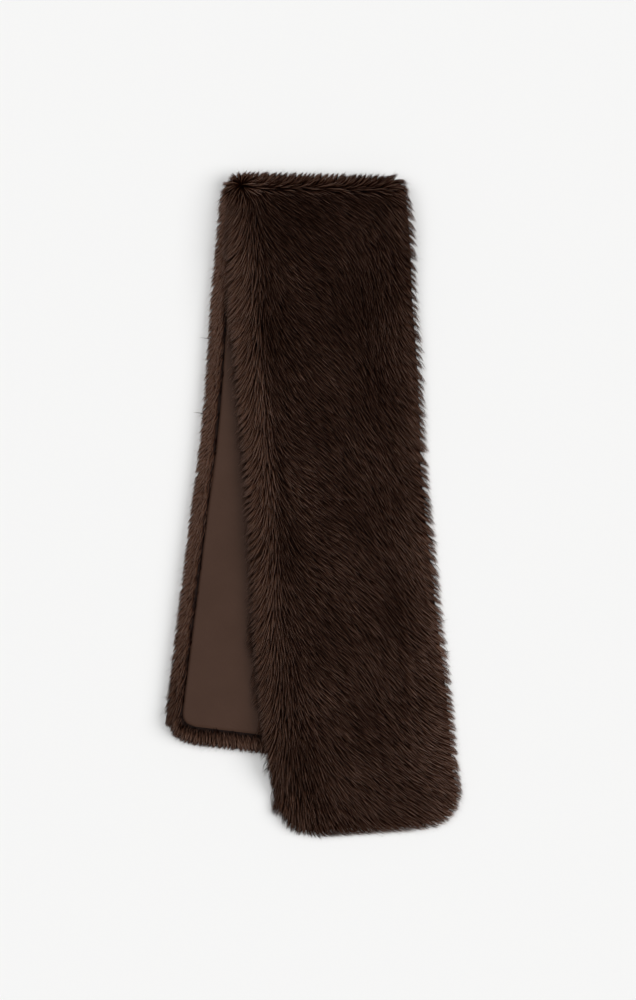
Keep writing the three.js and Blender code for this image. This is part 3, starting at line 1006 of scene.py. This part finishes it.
HAIR = {
    "pile": Growth(1.9, 2, 15, 0.42, wander=3, tips=0.62),
    # Guard hair is made lighter as painted highlights, since the hair has no specular shine of its own.
    "guard_glint": Growth(2.0, 1, 17, 0.62, wander=3, lift=0.5, lighter=0.31),
    "pile_under": Growth(1.6, 1, 13, 0.6, segments=1, lift=-1, tips=0.7),
    "rim": Growth(1.5, 2, 11, 0.52, wander=6, stray=0.3, tips=0.95),
    "rim_under": Growth(1.6, 1, 13, 0.6, segments=1, lift=-0.6),
    "rim_hem": Growth(1.5, 2, 7, 0.5, lift=0.4, root=0.5, tips=0.85),
    "fringe": Growth(1.6, 1, 14, 0.5, wander=5, stray=0.12),
    "pressed": Growth(10, 4, 21, 1.3, wander=12, stray=0.6, segments=1, tips=0.6),
    "pile_wisps": Growth(4, 1, 20, 0.16, wander=30, stray=1, segments=1, lift=1, past=4),
    "rim_wisps": Growth(4, 1, 15, 0.26, wander=25, stray=1, segments=1, lift=1, past=6),
}
MOST_TRIANGLES = 190_000
PRESSED_HEIGHT = 3 * MM  # up to which pressed hair grows
BARE_REACH = {"legs": 0.5 * MM, "fold": 4 * MM}  # from the lining, where no hair grows
WISP_SHARE = {"pile": 0.6, "rim": 0.15}  # of the places at the sides, that also grow a wisp
FRINGE_WIDTH = 7 * MM  # along the outline, where the hair is twice as dense
HEM_STRIP = (-1 * MM, 5 * MM)  # below the lining's hem, where short hair hides the roots
# How far the surface faces up, from -1 to 1, where its hair changes
PRESSED_BELOW, FRINGE_ABOVE, WISPS_BELOW = -0.45, 0.1, 0.85
HIDDEN_REACH = 20 * MM  # how far inside the front leg's outline the back leg's hair is left out


def fur_panel(points, triangles, stretch):
    """The ground of the pile, one panel below the surface of the solids, dark partly as painted shade."""
    points, triangles, stretch = divided(points, triangles, stretch)
    normals = normals_of(points, triangles)
    of_point = np.zeros(len(points), int)
    of_point[triangles.ravel()] = np.repeat(stretch, 3)
    inset = points - normals * panel_depth(points, normals, of_point)[:, None]
    piece = mesh_piece("fur_panel", inset, triangles, panel_material)
    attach(piece, "root")
    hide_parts(*FUR_NODES)


def under_front(places):
    """Whether the front leg covers these places, and the ground round them."""
    covered = np.ones(len(places), bool)
    for dx, dy in ((0, 0), (-1, 0), (1, 0), (0, -1)):
        for i, (x, y, z) in enumerate(places.tolist()):
            start = (x + dx * HIDDEN_REACH, y + dy * HIDDEN_REACH, z)
            covered[i] &= trees["fur_front"].ray_cast(start, (0, 0, 1))[0] is not None
    return covered


def below_lining(places):
    """Which places lie right below the hem of the back leg's lining."""
    below = ends["lining_back"].low(places[:, 0]) - places[:, 1]
    start, end = HEM_STRIP
    return (below > start) & (below < end) & (places[:, 2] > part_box("lining_back")[0].z)


def hair_pieces(name, found, kind, rng, support):
    """Hair of one kind at the places found, in as many pieces as the limit asks for."""
    growth = HAIR[kind]
    paths, normals, width, shade = grow(*found, growth, rng, support)
    triangles_each = 2 * RING * (growth.segments - 1) + RING + 1
    parts = int(np.ceil(len(paths) * triangles_each / MOST_TRIANGLES))
    for number, some in enumerate(np.array_split(np.arange(len(paths)), parts)):
        label = name if parts == 1 else f"{name}_{number + 1}"
        piece = strand_mesh(label, paths[some], normals[some], width[some], shade[some], growth.root)
        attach(piece, "root")


def on_floor(paths):
    return np.zeros(paths.shape[:-1])


def fur_zones(points, triangles, stretch):
    """The triangles on which each zone's hair grows, its kind, and what it lies on."""
    middle = points[triangles].mean(axis=1)
    facing = unit(np.cross(*(points[triangles[:, k]] - points[triangles[:, 0]] for k in (1, 2))))
    bare = distance_to(lining_tree, middle, BARE_REACH["legs"]) < np.inf
    bare |= (stretch == FOLD) & (distance_to(lining_tree, middle, BARE_REACH["fold"]) < np.inf)
    under = facing[:, 2] < PRESSED_BELOW
    open_pile = ~under & ~bare
    pressed = under & ~bare & (middle[:, 2] < PRESSED_HEIGHT)
    over_back = support_under(["fur_back", "lining_back"])
    return {
        "hair_front": ((stretch != BACK) & open_pile, "pile", over_back),
        "hair_rim": ((stretch == BACK) & open_pile, "rim", support_under(["lining_back"])),
        "hair_pressed": (pressed, "pressed", on_floor),
    }


def picked(found, chosen):
    return tuple(part[chosen] for part in found)


def add_fur():
    rng = np.random.default_rng(SEED)
    points, triangles, stretch = fur_surface()
    fur_panel(points, triangles, stretch)
    normals = normals_of(points, triangles)

    def spread(chosen, kind):
        spacing = HAIR[kind].spacing
        found = scattered(points, normals, triangles[chosen], stretch[chosen], spacing, rng)
        return picked(found, (found[2] != BACK) | (found[1][:, 2] < 0) | ~under_front(found[0]))

    for name, (chosen, kind, support) in fur_zones(points, triangles, stretch).items():
        found = spread(chosen, kind)
        places, ups, parts = found[0], found[1][:, 2], found[2]
        hair_pieces(name, found, kind, rng, support)
        if kind != "pressed":
            hair_pieces(name + "_guard", spread(chosen, "guard_glint"), "guard_glint", rng, support)
            hair_pieces(name + "_under", found, kind + "_under", rng, support)
            wisps = rng.random(len(places)) < WISP_SHARE[kind] * (np.abs(ups) < WISPS_BELOW)
            hair_pieces(name + "_wisps", picked(found, wisps), kind + "_wisps", rng, support)
            edge = (edge_near(places, parts)[0] < FRINGE_WIDTH) & (ups > FRINGE_ABOVE)
            hair_pieces(name + "_fringe", picked(found, edge), "fringe", rng, support)
        if kind == "rim":
            hair_pieces(name + "_hem", picked(found, below_lining(places)), "rim_hem", rng, support)


# The floor, light and camera

FLOOR_HALF = 3.0
PAPER = {"colour": (0.9, 0.9, 0.895), "roughness": 0.9}
SKY_STRENGTH = 0.13
SUNS = {
    "key": {"towards": (0.72, 0.0, 0.695), "angle_degrees": 40, "strength": 1.85},
    "top": {"towards": (-0.21, 0.177, 0.961), "angle_degrees": 60, "strength": 1.6},
}


def add_floor():
    corners = ((-1, -1, 0), (1, -1, 0), (1, 1, 0), (-1, 1, 0))
    triangles = np.array([[0, 1, 2], [0, 2, 3]])
    paper = plain_finish("paper", **PAPER)
    floor = mesh_piece("floor", np.array(corners) * FLOOR_HALF, triangles, paper)


def add_sun(name, towards, angle_degrees, strength):
    data = bpy.data.lights.new(name, "SUN")
    data.angle = np.radians(angle_degrees)
    data.energy = strength
    lamp = bpy.data.objects.new(name, data)
    bpy.context.scene.collection.objects.link(lamp)
    lamp.rotation_euler = Vector(towards).to_track_quat("Z", "Y").to_euler()


def add_light():
    world = bpy.data.worlds.new("studio")
    world.use_nodes = True
    sky = world.node_tree.nodes["Background"]
    sky.inputs["Color"].default_value = (1, 1, 1, 1)
    sky.inputs["Strength"].default_value = SKY_STRENGTH
    bpy.context.scene.world = world
    for name, sun in SUNS.items():
        add_sun(name, **sun)


def add_camera():
    data = bpy.data.cameras.new("camera")
    camera = bpy.data.objects.new("camera", data)
    bpy.context.scene.collection.objects.link(camera)
    x, y = from_pixel(*MIDDLE_PIXEL)
    camera.location = (x, y, CAMERA_FOCUS_HEIGHT + CAMERA_HEIGHT)
    data.sensor_fit = "VERTICAL"
    data.sensor_height = SENSOR_MM
    data.lens = SENSOR_MM * CAMERA_HEIGHT / (PICTURE_HEIGHT_PIXELS * METRES_PER_PIXEL)
    bpy.context.scene.camera = camera
    bpy.context.scene.view_settings.view_transform = "Standard"


add_camera()
add_lining()
add_fur()
add_floor()
add_light()
